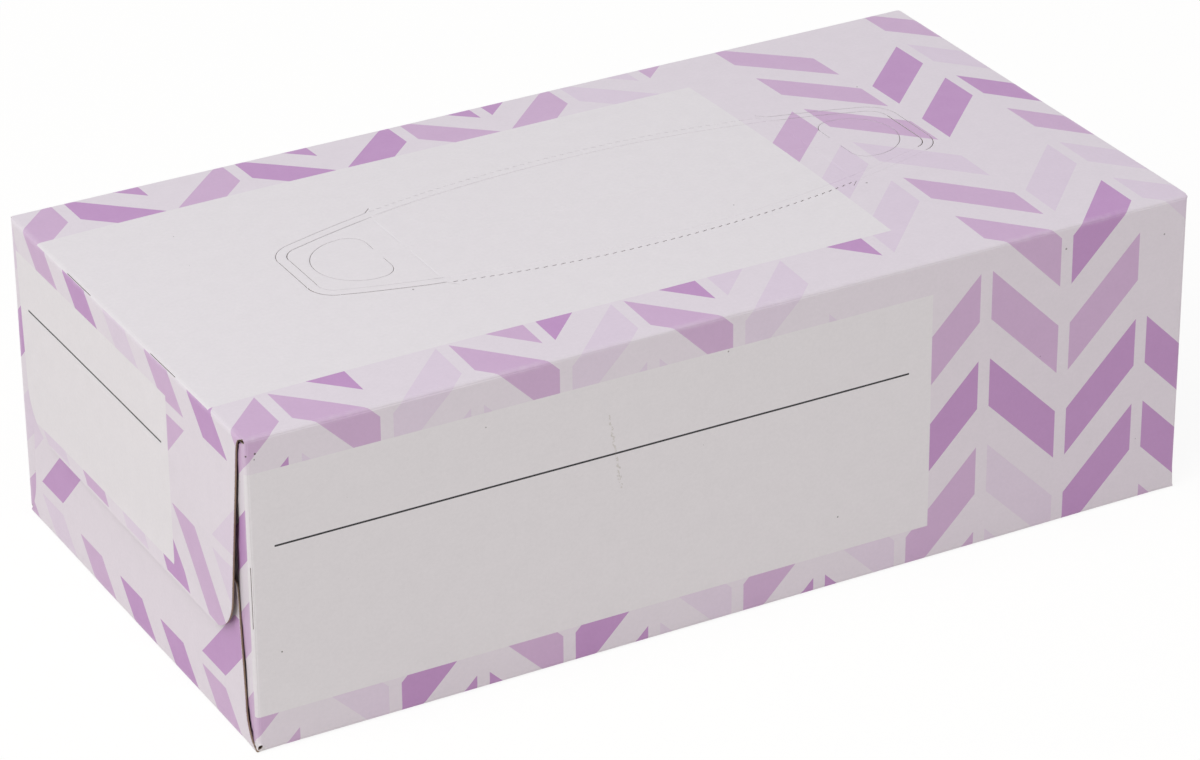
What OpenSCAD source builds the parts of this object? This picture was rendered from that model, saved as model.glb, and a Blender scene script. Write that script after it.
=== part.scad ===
// Sealed tissue carton: a folded and glued cartonboard sleeve with layered end flaps
// and a perforated tear-out panel in its top. Millimetres, +Z up, front panel towards -Y,
// origin at the middle of the base.

/* [Carton] */
// Length over the closed ends
carton_l = 217; // [190:1:250]
// Width from the front panel to the back panel
carton_w = 113; // [100:1:130]
// Height from the base to the top panel
carton_h = 69; // [60:1:85]
// Thickness of the cartonboard
board_t = 0.45; // [0.35:0.05:0.55]
// Outside radius of a folded crease
crease_r = 0.8; // [0.7:0.1:1.8]
// Distance from the back face to the bottom panel's glued edge
seam_setback = 1.5; // [0.5:0.1:1.7]

/* [End flaps] */
// Length of the inner flap, which folds up from the bottom panel
inner_flap_l = 35; // [30:0.5:45]
// How far the outer flap, folded down from the top panel, laps over the inner one
flap_lap = 13; // [8:0.5:20]
// Outer flap's side edge to the side panel, at its crease
outer_root_inset = 2.7; // [2:0.1:4]
// Outer flap's side edge to the side panel, at its free edge
outer_tip_inset = 6; // [4.5:0.1:8]
// Radius of the outer flap's free corners
outer_corner_r = 11; // [5:0.5:14]
// Inner flap's side edge to the side panel, at its crease
inner_root_inset = 1; // [1:0.1:3]
// Inner flap's side edge to the side panel, above the flare at its crease
inner_side_inset = 4.8; // [4:0.1:6]
// Inner flap's side edge to the side panel, at its free edge
inner_tip_inset = 6.6; // [6:0.1:9]
// Radius of the flare where the inner flap's sides meet its crease
inner_flare_r = 13; // [8:0.5:18]
// Dust flaps' upper and lower edges to the top and bottom panels
dust_flap_gap = 2; // [1.9:0.1:3]

/* [Crease slits] */
// Width of a knife cut through the board
cut_w = 0.3; // [0.2:0.05:0.4]
// Length of a slit in an end flap's crease
flap_slit_l = 11.6; // [6:0.2:16]
// Distance between the middles of the two slits in an end flap's crease
flap_slit_pitch = 40.5; // [30:0.5:50]
// Length of the slit in a dust flap's crease
dust_slit_l = 13.6; // [6:0.2:20]

/* [Tear-out panel] */
// Length of the tear-out panel
opening_l = 146.6; // [130:0.2:160]
// Width of the tear-out panel at its middle
opening_w = 47.2; // [44:0.2:56]
// Radius of the tear-out panel's long sides
opening_side_r = 223; // [180:1:300]
// Radius of the tear-out panel's corners
opening_corner_r = 6.5; // [4:0.5:9]
// Offset of the tear-out panel from the middle, along the length
opening_shift = 2.8; // [0:0.1:8]
// Distance between the two cross folds, where the knife cuts become perforation
fold_spacing = 96; // [85:0.2:104]
// Outer line to the second line inside it
inner_line_gap = 2.25; // [1.5:0.05:3]
// Pitch of the perforation
perf_pitch = 1.9; // [1.5:0.1:3]
// Length of each perforation cut
perf_cut = 1.05; // [0.6:0.05:1.2]
// Slant of each perforation cut to the line, towards the tear-out panel
perf_slant = 12; // [0:1:25]
// Length of the uncut nick between two knives
nick = 0.4; // [0.3:0.05:0.8]
// Length of the slanted tick that ends each knife cut
tick_l = 2.4; // [1:0.1:4]
// Width of a pressed score line
score_w = 0.6; // [0.4:0.05:1]
// Depth of a pressed score line
score_d = 0.12; // [0.05:0.01:0.2]

/* [Thumb tabs] */
// Radius of a thumb tab's round side
tab_r = 9.9; // [7:0.1:11]
// Radius of a thumb tab's corners
tab_corner_r = 4; // [2:0.1:4.2]
// Middle of a thumb tab's round side to the end of the tear-out panel
tab_from_end = 14.75; // [14:0.25:17]
// Middle of a thumb tab's round side to its straight hinge side
tab_hinge = 4.55; // [4.3:0.05:6]
// Uncut length at the middle of the hinge side
tab_bridge = 4.5; // [2:0.5:8]

/* [Hidden] */
$fn = 128;
// Extra reach of a cutter beyond the face that it cuts
over = 0.5;
// How far a flap's strip runs into the sleeve that it grows from
root = 2;
board_colour = "#ddd3e0";
half_l = carton_l / 2;
half_w = carton_w / 2;
// The end layers lie one board deeper each: outer flap, inner flap, dust flaps
inner_end = half_l - board_t;
dust_end = half_l - 2 * board_t;
sleeve_end = inner_end - crease_r;
outer_flap_l = carton_h - inner_flap_l + flap_lap;
// Middle of the arcs along the tear-out panel's long sides
side_centre = opening_side_r - opening_w / 2;
corner_x = opening_l / 2 - opening_corner_r;
corner_y = sqrt(pow(opening_side_r - opening_corner_r, 2) - pow(corner_x, 2)) - side_centre;
// Angle through which a corner turns, from the straight end to the long side
corner_turn = atan2(corner_y + side_centre, corner_x);
// Where a cross fold meets the outer line
fold_x = fold_spacing / 2;
fold_y = sqrt(pow(opening_side_r, 2) - pow(fold_x, 2)) - side_centre;
fold_angle = asin(fold_x / opening_side_r);
// The perforation stops at least a nick short of the cross folds
perf_count = floor((2 * fold_angle * PI / 180 * opening_side_r - 2 * nick) / perf_pitch);
tab_x = opening_l / 2 - tab_from_end;
tab_corner_x = tab_hinge - tab_corner_r;
tab_corner_y = sqrt(pow(tab_r - tab_corner_r, 2) - pow(tab_corner_x, 2));
// Angle through which a thumb tab's corner turns, from its hinge side to its round side
tab_turn = atan2(tab_corner_y, tab_corner_x);

// Rectangle with rounded corners, from one corner to the opposite one
module rounded_rect(low, high, r) {
    size = high - low;
    translate(low + [r, 0]) square([size.x - 2 * r, size.y]);
    translate(low + [0, r]) square([size.x, size.y - 2 * r]);
    for (x = [low.x + r, high.x - r], y = [low.y + r, high.y - r])
        translate([x, y]) circle(r);
}

// Extrudes a YZ outline along X
module along_x(x0, x1)
    translate([x0, 0, 0]) rotate([90, 0, 90]) linear_extrude(x1 - x0) children();

// Extrudes an XZ outline along Y, centred on the carton's middle
module along_y(width)
    translate([0, width / 2, 0]) rotate([90, 0, 0]) linear_extrude(width) children();

// Sleeve section: four panels round creases, the bottom one glued over the back panel's tab
module sleeve_section() {
    rounded_rect([-half_w, board_t], [half_w, carton_h], crease_r);
    intersection() {
        rounded_rect([-half_w, 0], [half_w, carton_h], crease_r);
        translate([-half_w, 0]) square([carton_w - seam_setback, carton_h / 2]);
    }
}

// The panels and, one end deeper, the dust flaps that fold in from the front and back panels
module sleeve() {
    intersection() {
        union() {
            along_x(-sleeve_end, sleeve_end) sleeve_section();
            along_x(-dust_end, dust_end) translate([-half_w, dust_flap_gap])
                square([carton_w, carton_h - 2 * dust_flap_gap]);
        }
        linear_extrude(carton_h) rounded_rect([-dust_end, -half_w], [dust_end, half_w], crease_r);
    }
}

// Side view of a flap: a panel's layer, its crease and the flap, in board thickness.
// The crease turns up from the XZ origin's level at x = end, and the flap is length long.
module bent_strip(end, length) {
    bend_x = end - crease_r;
    translate([sleeve_end - root, 0]) square([bend_x - sleeve_end + root, board_t]);
    translate([bend_x, crease_r]) intersection() {
        difference() {
            circle(crease_r);
            circle(crease_r - board_t);
        }
        translate([0, -crease_r]) square(crease_r);
    }
    translate([end - board_t, crease_r]) square([board_t, length - crease_r]);
}

// Outer flap's outline, seen along X, from its crease at height 0 down to its free edge
module outer_outline() {
    taper = atan((outer_tip_inset - outer_root_inset) / outer_flap_l);
    straight = outer_flap_l - outer_corner_r;
    centre_y = half_w - outer_root_inset - straight * tan(taper) - outer_corner_r / cos(taper);
    side = [outer_corner_r * cos(taper), -straight - outer_corner_r * sin(taper)];
    polygon([
        [outer_root_inset - half_w, 0],
        [half_w - outer_root_inset, 0],
        [centre_y + side.x, side.y],
        [centre_y, -outer_flap_l],
        [-centre_y, -outer_flap_l],
        [-centre_y - side.x, side.y],
    ]);
    for (y = [-centre_y, centre_y]) translate([y, -straight]) circle(outer_corner_r);
}

// Inner flap's outline, seen along X, from its crease at height 0 up to its free edge
module inner_outline() {
    side = half_w - inner_side_inset;
    tip = half_w - inner_tip_inset;
    flare_w = inner_side_inset - inner_root_inset;
    flare_h = sqrt(2 * inner_flare_r * flare_w - pow(flare_w, 2));
    polygon([
        [-side, 0], [side, 0], [side, flare_h], [tip, inner_flap_l],
        [-tip, inner_flap_l], [-side, flare_h],
    ]);
    for (hand = [0, 1]) mirror([hand, 0]) difference() {
        translate([side - over, 0]) square([flare_w + over, flare_h]);
        translate([side + inner_flare_r, flare_h]) circle(inner_flare_r);
    }
}

// Outer flap of the right end
module outer_flap() {
    intersection() {
        translate([0, 0, carton_h]) mirror([0, 0, 1])
            along_y(carton_w) bent_strip(half_l, outer_flap_l);
        along_x(sleeve_end - root, half_l) translate([0, carton_h]) outer_outline();
    }
}

// Inner flap of the right end
module inner_flap() {
    intersection() {
        along_y(carton_w) bent_strip(inner_end, inner_flap_l);
        along_x(sleeve_end - root, inner_end) inner_outline();
    }
}

// Knife slit across a crease, along Y, through the crease whose arc is centred at the XZ point
module crease_slit(centre, angle, length)
    translate([centre.x, 0, centre.y]) rotate([0, -angle, 0])
        translate([crease_r - board_t, -length / 2, -cut_w / 2])
            cube([board_t + over, length, cut_w]);

// Slits that weaken the right end's creases, so that the flaps fold flat
module end_slits() {
    for (side = [-1, 1]) {
        translate([0, side * flap_slit_pitch / 2, 0]) {
            crease_slit([half_l - crease_r, carton_h - crease_r], 45, flap_slit_l);
            crease_slit([inner_end - crease_r, crease_r], -45, flap_slit_l);
        }
        translate([dust_end - crease_r, side * (half_w - crease_r), carton_h / 2])
            rotate([0, 0, side * 45])
                translate([crease_r - board_t, -cut_w / 2, -dust_slit_l / 2])
                    cube([board_t + over, cut_w, dust_slit_l]);
    }
}

// Straight groove along X, centred, cut down from the top face
module bar_groove(length, width, depth)
    translate([-length / 2, -width / 2, -depth]) cube([length, width, depth + over]);

// Curved groove between two angles, with its outer wall at radius r
module arc_groove(r, width, depth, from, to)
    rotate(from) rotate_extrude(angle = to - from, $fn = 720)
        translate([r - width, -depth]) square([width, depth + over]);

// Half the angle that an uncut nick takes at radius r
function nick_angle(r) = nick / 2 / r * 180 / PI;

// Knives round one end of the tear-out panel, moved in by inset: the straight end,
// its corners and the long sides as far as the cross fold
module end_knives(inset) {
    corner_r = opening_corner_r - inset;
    side_r = opening_side_r - inset;
    translate([opening_l / 2 - inset - cut_w / 2, 0]) rotate(90)
        bar_groove(2 * corner_y - nick, cut_w, board_t);
    for (side = [0, 1]) mirror([0, side]) {
        translate([corner_x, corner_y])
            arc_groove(corner_r, cut_w, board_t, nick_angle(corner_r), corner_turn - nick_angle(corner_r));
        translate([0, -side_centre])
            arc_groove(side_r, cut_w, board_t, corner_turn + nick_angle(side_r), 90 - fold_angle);
    }
}

// Thumb tab with its hinge side towards +X: a round knife, two corner knives and
// two hinge knives with an uncut bridge between them
module thumb_tab() {
    hinge_cut = tab_corner_y - (tab_bridge + nick) / 2;
    arc_groove(tab_r, cut_w, board_t, tab_turn + nick_angle(tab_r), 360 - tab_turn - nick_angle(tab_r));
    for (side = [0, 1]) mirror([0, side]) {
        translate([tab_corner_x, tab_corner_y])
            arc_groove(tab_corner_r, cut_w, board_t, nick_angle(tab_corner_r), tab_turn - nick_angle(tab_corner_r));
        translate([tab_hinge - cut_w / 2, (tab_bridge + hinge_cut) / 2]) rotate(90)
            bar_groove(hinge_cut, cut_w, board_t);
    }
}

// Slanted tick that turns each outer knife away from the tear-out panel at its cross fold
module ticks()
    for (hand = [-1, 1], side = [-1, 1])
        translate([hand * fold_x, side * fold_y]) rotate(atan2(side, -hand))
            translate([nick + tick_l / 2, 0]) bar_groove(tick_l, cut_w, board_t);

// Perforation along the tear-out panel's long sides
module perforation() {
    step = perf_pitch / opening_side_r * 180 / PI;
    for (side = [0, 180], i = [0 : perf_count - 1])
        rotate(side) translate([0, -side_centre]) rotate((i - (perf_count - 1) / 2) * step)
            translate([0, opening_side_r - cut_w / 2]) rotate(-perf_slant)
                bar_groove(perf_cut, cut_w, board_t);
}

// Pressed score lines of the tear-out panel: cross folds, and a line inside each long side
module scores() {
    side_r = opening_side_r - inner_line_gap;
    reach = fold_angle - nick_angle(side_r) - score_w / side_r * 180 / PI;
    for (hand = [-1, 1]) translate([hand * fold_x, 0]) rotate(90)
        bar_groove(2 * (fold_y - inner_line_gap) - nick, score_w, score_d);
    for (side = [0, 180]) rotate(side) translate([0, -side_centre])
        arc_groove(side_r, score_w, score_d, 90 - reach, 90 + reach);
}

// Every line of the tear-out panel, from the top face at height 0
module tear_out_lines() {
    for (end = [0, 180]) rotate(end) {
        end_knives(0);
        end_knives(inner_line_gap);
        translate([-tab_x, 0, 0]) thumb_tab();
    }
    ticks();
    perforation();
    scores();
}

// The whole carton: sleeve, both closed ends and the lines cut into its top
module carton() {
    color(board_colour) difference() {
        union() {
            sleeve();
            for (end = [0, 1]) mirror([end, 0, 0]) {
                outer_flap();
                inner_flap();
            }
        }
        for (end = [0, 1]) mirror([end, 0, 0]) end_slits();
        translate([opening_shift, 0, carton_h]) tear_out_lines();
    }
}

carton();
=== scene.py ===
"""Sealed tissue carton, folded from its printed and die-cut blank, on a plain studio stage."""

import math

import bpy
import numpy as np
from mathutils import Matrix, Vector, noise
from mathutils.geometry import delaunay_2d_cdt
from mathutils.kdtree import KDTree


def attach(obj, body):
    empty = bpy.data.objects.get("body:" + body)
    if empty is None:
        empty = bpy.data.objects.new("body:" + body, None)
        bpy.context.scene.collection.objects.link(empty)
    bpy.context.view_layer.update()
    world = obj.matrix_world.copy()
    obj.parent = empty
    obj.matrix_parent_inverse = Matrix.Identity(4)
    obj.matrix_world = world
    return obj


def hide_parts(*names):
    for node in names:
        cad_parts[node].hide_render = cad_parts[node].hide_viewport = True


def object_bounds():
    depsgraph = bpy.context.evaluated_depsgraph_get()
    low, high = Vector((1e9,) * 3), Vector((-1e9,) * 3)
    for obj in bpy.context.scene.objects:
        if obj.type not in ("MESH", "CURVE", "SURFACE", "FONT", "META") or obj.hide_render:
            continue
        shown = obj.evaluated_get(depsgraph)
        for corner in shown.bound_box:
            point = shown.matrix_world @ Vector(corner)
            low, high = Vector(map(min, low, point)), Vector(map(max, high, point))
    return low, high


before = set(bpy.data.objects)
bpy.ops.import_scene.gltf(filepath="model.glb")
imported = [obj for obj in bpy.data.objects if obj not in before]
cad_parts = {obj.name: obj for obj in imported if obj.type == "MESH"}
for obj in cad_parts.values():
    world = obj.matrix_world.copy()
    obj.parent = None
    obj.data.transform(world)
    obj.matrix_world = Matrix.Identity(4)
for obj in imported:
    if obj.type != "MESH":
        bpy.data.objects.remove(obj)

bl_info = {
    "name": "Tissue carton",
    "version": (1, 0, 0),
    "blender": (4, 5, 0),
    "location": "3D View > Sidebar > Carton",
    "description": "Folds a tissue carton from its printed blank and sets the stage that it is shown on",
    "category": "Object",
}

CAD_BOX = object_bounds()
CAD_SIZE = CAD_BOX[1] - CAD_BOX[0]
MM = 0.001

# Panels in their order round the carton, from the glue tab to the glued edge of the bottom panel
PANELS = ("glue_tab", "back", "top", "front", "bottom")
# Steps between the rows of points across a crease's quarter turn
CREASE_STEPS = 6
# Two points of the drawing nearer than this, in millimetres, are taken as one
CLOSE = 0.05
# How far a knife rolls the edges of its cut down, in millimetres
ROLLED = 0.05


def linear(code):
    """An sRGB hex colour as linear red, green, blue and alpha."""
    parts = [int(code[i : i + 2], 16) / 255 for i in (1, 3, 5)]
    return tuple(p / 12.92 if p <= 0.04045 else ((p + 0.055) / 1.055) ** 2.4 for p in parts) + (1.0,)


def length_property(name, description, millimetres):
    """A length with its default given in millimetres."""
    return bpy.props.FloatProperty(
        name=name, description=description, default=millimetres * MM, unit="LENGTH", precision=5
    )


def colour_property(name, description, code):
    """A colour with its default given as an sRGB hex value."""
    return bpy.props.FloatVectorProperty(
        name=name, description=description, default=linear(code), size=4, subtype="COLOR", min=0, max=1
    )


class CartonSizes(bpy.types.PropertyGroup):
    """Sizes of the folded carton."""

    length: length_property("Length", "Length over the closed ends", CAD_SIZE.x / MM)
    width: length_property("Width", "Width from the front panel to the back panel", CAD_SIZE.y / MM)
    height: length_property("Height", "Height from the base to the top panel's edges", CAD_SIZE.z / MM)
    board: length_property("Board", "Thickness of the cartonboard", 0.45)
    crease: length_property("Crease", "Outside radius of a folded crease", 0.8)
    seam: length_property("Seam", "Back face to the bottom panel's glued edge", 1.5)
    glue_tab: length_property("Glue tab", "Width of the tab under the bottom panel", 12)
    crown: length_property("Crown", "How far the packed tissues push up the middle of the top panel", 1.5)
    spring: length_property("Spring", "How far the outer flap's free corner stands off the end", 0.9)
    outer_flap: length_property("Outer flap", "Length of the flap that folds down from the top panel", 47)
    inner_flap: length_property("Inner flap", "Length of the flap that folds up from the bottom panel", 35)
    dust_flap: length_property("Dust flap", "Length of the flaps that fold in from the sides", 46)
    opening_length: length_property("Opening length", "Length of the tear-out panel", 146.6)
    opening_width: length_property("Opening width", "Width of the tear-out panel at its middle", 47.2)
    opening_shift: length_property("Opening shift", "Tear-out panel's middle to the top panel's middle", 2.8)
    knife: length_property("Knife cut", "Width of a knife cut through the board", 0.17)


class CartonColours(bpy.types.PropertyGroup):
    """Colours of the print and of the bare board."""

    label: colour_property("Label", "Unprinted white of the label fields", "#E6E2E4")
    ground: colour_property("Ground", "Pale lilac behind the pattern", "#E2DAE1")
    light_ink: colour_property("Light ink", "Palest dash of the pattern", "#DDCFDE")
    mid_ink: colour_property("Middle ink", "Middle dash of the pattern", "#CDADCE")
    dark_ink: colour_property("Dark ink", "Deepest dash of the pattern", "#BF92C3")
    rule: colour_property("Rule", "Thin lines ruled across the labels", "#2A282B")
    core: colour_property("Core", "Grey core of the board at its cut edges", "#957F6C")


class StageValues(bpy.types.PropertyGroup):
    """Light and camera of the studio."""

    lens: bpy.props.FloatProperty(
        name="Lens", description="Focal length for a sensor 36 mm wide", default=142.376, unit="CAMERA"
    )
    camera_place: bpy.props.FloatVectorProperty(
        name="Camera place",
        description="Where the camera stands, from the middle of the carton's base",
        default=(-0.4274, -0.77612, 0.49067),
        subtype="TRANSLATION",
        unit="LENGTH",
    )
    camera_turn: bpy.props.FloatVectorProperty(
        name="Camera turn",
        description="Pitch, roll and heading of the camera",
        default=(math.radians(62.438), math.radians(0.4219), math.radians(-29.0353)),
        subtype="EULER",
        unit="ROTATION",
    )
    sky: bpy.props.FloatProperty(
        name="Sky",
        description="Strength of the even light from all round",
        default=0.565,
        min=0,
        subtype="FACTOR",
    )
    key: bpy.props.FloatProperty(
        name="Key light",
        description="Power of the large soft light at the left",
        default=12.5,
        min=0,
        unit="POWER",
    )


class Blank:
    """The flat blank in millimetres: u runs along the carton and v round it, from the top panel's middle."""

    def __init__(self, sizes):
        for name in CartonSizes.__annotations__:
            setattr(self, name, getattr(sizes, name) / MM)
        self.turn = self.crease * math.pi / 2
        # The inner flap's crease bulges out before the flap leans back behind the outer one, and the dust
        # flaps' creases bulge out to just behind the outer flap before those flaps fall back behind both
        clear = 0.1
        inner_step = 0.15
        dust_plane = self.length / 2 - self.board - clear
        self.end_plane = {
            "glue_tab": dust_plane,
            "back": dust_plane,
            "top": self.length / 2,
            "front": dust_plane,
            "bottom": self.length / 2 - inner_step,
        }
        # Where the slots between the flaps end, part of the way round the dust flaps' creases
        notch_share = 0.6
        self.notch = dust_plane - self.crease + notch_share * self.turn
        self.crushed_corner = np.array((-self.length / 2, -self.width / 2, 0.0))
        self.lay_out_girth()
        # A small hole is torn just past the front panel's end crease and just above its bottom crease
        past_end = 0.25
        above_bottom = 0.6
        self.torn_radius = 0.44
        torn_v = self.runs["front"][1] - above_bottom
        self.torn_hole = np.array((-self.flap_root("front") - past_end, torn_v))

    def lay_out_girth(self):
        """Finds where each panel starts and ends round the girth, its YZ start and its heading there."""
        side = self.height - 2 * self.crease
        lengths = (
            self.glue_tab,
            side - self.board,
            self.width - 2 * self.crease,
            side,
            self.width - self.crease - self.seam,
        )
        at = np.array((self.width / 2 - self.crease - self.glue_tab, self.board))
        heading = np.array((1.0, 0.0))
        v = -(lengths[0] + lengths[1] + lengths[2] / 2 + 2 * self.turn)
        self.runs = {}
        for name, length in zip(PANELS, lengths):
            self.runs[name] = (v, v + length, at, heading)
            left = np.array((-heading[1], heading[0]))
            at = at + heading * (length + self.crease) + left * self.crease
            heading = left
            v += length + self.turn

    def crease_rows(self, start):
        """Rows of points across the crease that starts here."""
        return [start + self.turn * i / CREASE_STEPS for i in range(CREASE_STEPS + 1)]

    def dent(self, row):
        """How far the creasing rule's two edges sank into this row of a crease."""
        groove = 0.06
        return groove if row in (1, CREASE_STEPS - 1) else 0.0

    def flap_root(self, panel):
        """Where a panel's end crease starts, along u."""
        return self.end_plane[panel] - self.crease

    def flap_u(self, panel, depth):
        """Place along u of a point this far down a flap from the face that the flap folds from."""
        return self.flap_root(panel) + self.turn + depth - self.crease

    def flap_middle(self, panel):
        """Place round v of a flap's middle line."""
        start, end, at, heading = self.runs[panel]
        if panel == "bottom":
            return start + self.width / 2 - self.crease
        if panel == "back":
            return end - (self.height / 2 - self.crease)
        return (start + end) / 2

    def flap_length(self, panel):
        """Length of a flap below the face that it folds from."""
        lengths = {"top": self.outer_flap, "bottom": self.inner_flap}
        return lengths.get(panel, self.dust_flap)

    def half_flap(self, panel, u):
        """Half the width of a flap at a place along u."""
        depth = max(0.0, u - self.flap_u(panel, 0))
        if panel == "top":
            # Nearly full width at the crease, drawn in quickly past it and then evenly tapered
            inset, taper, flare = 2.9, 3.7, 1.9
            return self.width / 2 - inset - taper * depth / self.outer_flap + flare * math.exp(-depth)
        if panel == "bottom":
            # The sides flare out along an arc to meet the crease near the corners
            root, side, tip, arc = 1.0, 4.8, 6.6, 13.0
            flare = math.sqrt(arc**2 - (arc - side + root) ** 2)
            if depth < flare:
                return self.width / 2 - side + arc - math.sqrt(arc**2 - (flare - depth) ** 2)
            return self.width / 2 - side - (tip - side) * (depth - flare) / (self.inner_flap - flare)
        # Dust flaps have a slanted shoulder past the crease and taper slowly after it
        inset, shoulder, slant, taper = 0.9, 6, 0.15, 3
        return self.height / 2 - inset - min(depth, shoulder) * slant - taper * depth / self.dust_flap

    def side_inset(self, height):
        """How far the sides of the lapped flaps stand in from the front and back faces at this height."""
        # Below the outer flap's rounded corners the inner flap's sides are what shows
        rounding = 4
        if self.height - height < self.outer_flap - rounding:
            panel, depth = "top", self.height - height
        else:
            panel, depth = "bottom", height
        return self.width / 2 - self.half_flap(panel, self.flap_u(panel, depth))


def rounded(points, radii, step):
    """A chain of points whose corners are rounded to the radii given."""
    chain = []
    for i, (point, radius) in enumerate(zip(points, radii)):
        if radius == 0:
            chain.append(tuple(point))
            continue
        corner = Vector(point)
        back = (Vector(points[i - 1]) - corner).normalized()
        on = (Vector(points[i + 1]) - corner).normalized()
        half = back.angle(on) / 2
        centre = corner + (back + on).normalized() * (radius / math.sin(half))
        first = corner + back * (radius / math.tan(half)) - centre
        sweep = first.angle_signed(corner + on * (radius / math.tan(half)) - centre)
        count = max(2, math.ceil(abs(sweep) * radius / step))
        for k in range(count + 1):
            angle = math.atan2(first.y, first.x) - sweep * k / count
            chain.append((centre.x + radius * math.cos(angle), centre.y + radius * math.sin(angle)))
    return chain


def flap_outline(blank, panel):
    """Outline of one right-hand flap, from its lower root in v, round its free edge, to its upper root."""
    middle = blank.flap_middle(panel)
    root = blank.flap_root(panel)
    tip = blank.flap_u(panel, blank.flap_length(panel))
    stations = [blank.notch] + [u for u in blank.crease_rows(root) if u > blank.notch + CLOSE]
    if panel in ("top", "bottom"):
        # Closer points where the sides flare
        flare_step = 0.95
        stations += [root + blank.turn + i * flare_step for i in range(1, 10)]
    corner = {"top": 11, "bottom": 1.5}.get(panel, 7)
    side = [(u, blank.half_flap(panel, u)) for u in stations] + [(tip, blank.half_flap(panel, tip))]
    points = [(u, middle - w) for u, w in side] + [(u, middle + w) for u, w in reversed(side)]
    radii = [0] * len(stations) + [corner, corner] + [0] * len(stations)
    arc_step = 1.2
    return rounded(points, radii, arc_step)


def end_outline(blank):
    """Right-hand end of the blank's outline, from the glue tab to the bottom panel's glued edge."""
    runs = blank.runs
    tab_slant = 7
    chain = [(blank.notch - tab_slant, runs["glue_tab"][0])]
    for before, panel in zip(PANELS, PANELS[1:]):
        flap = flap_outline(blank, panel)
        rows = [(blank.notch, v) for v in blank.crease_rows(runs[before][1])]
        chain += [row for row in rows if chain[-1][1] + CLOSE < row[1] < flap[0][1] - CLOSE]
        chain += flap
    chain.append((blank.notch, runs["bottom"][1]))
    return chain


class Drawing:
    """The die maker's drawing: points, ruled lines, the outline and the cuts inside it."""

    def __init__(self):
        self.points = []
        self.press = []
        self.places = {}
        self.lines = []
        self.shapes = []

    def point(self, place, press=0.0):
        """Index of the point at a place, which is made only once."""
        key = (round(place[0], 3), round(place[1], 3))
        if key not in self.places:
            self.places[key] = len(self.points)
            self.points.append(key)
            self.press.append(press)
        return self.places[key]

    def line(self, chain, press=0.0, closed=False):
        """Rules a line through a chain of places, pressed into the board by so much."""
        ids = [self.point(p, press) for p in chain]
        pairs = list(zip(ids, ids[1:]))
        if closed:
            pairs.append((ids[-1], ids[0]))
        self.lines += [pair for pair in pairs if pair[0] != pair[1]]

    def shape(self, chain, press=0.0):
        """Draws a closed shape: the outline first, then each cut."""
        ids = [self.point(p, press) for p in chain]
        self.shapes.append([a for a, b in zip(ids, ids[1:] + ids[:1]) if a != b])


def bar_cut(drawing, middle, length, width, angle, shoulder=0.35):
    """A straight knife cut, with the edges that the knife rolled down on both sides of it."""
    along = np.array((math.cos(angle), math.sin(angle)))
    across = np.array((-along[1], along[0]))
    for extra in (shoulder, 0.0):
        a = along * (length / 2 + extra)
        b = across * (width / 2 + extra)
        corners = [middle - a - b, middle + a - b, middle + a + b, middle - a + b]
        if extra:
            drawing.line(corners, closed=True)
        else:
            drawing.shape(corners, ROLLED)


def arc_cut(drawing, centre, radius, width, start, end, shoulder=0.35):
    """A curved knife cut with its outer edge at the radius, between two angles."""
    step = min(3.0, 0.12 * radius)
    count = max(4, math.ceil((end - start) * radius / step))
    for extra in (shoulder, 0.0):
        turn = extra / radius
        angles = [start - turn + (end - start + 2 * turn) * i / count for i in range(count + 1)]
        ways = [np.array((math.cos(a), math.sin(a))) for a in angles]
        outer = [centre + (radius + extra) * way for way in ways]
        inner = [centre + (radius - width - extra) * way for way in ways]
        chain = outer + inner[::-1]
        if extra:
            drawing.line(chain, closed=True)
        else:
            drawing.shape(chain, ROLLED)


def score(drawing, chain, width, depth):
    """A pressed score line: a sunk middle between two flat edges."""
    chain = [np.array(p) for p in chain]
    run = np.gradient(np.array(chain), axis=0)
    run /= np.linalg.norm(run, axis=1)[:, None]
    across = np.stack((-run[:, 1], run[:, 0]), axis=1)
    for offset in (-width / 2, width / 2):
        drawing.line([p + offset * n for p, n in zip(chain, across)])
    drawing.line(chain, depth)


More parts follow.
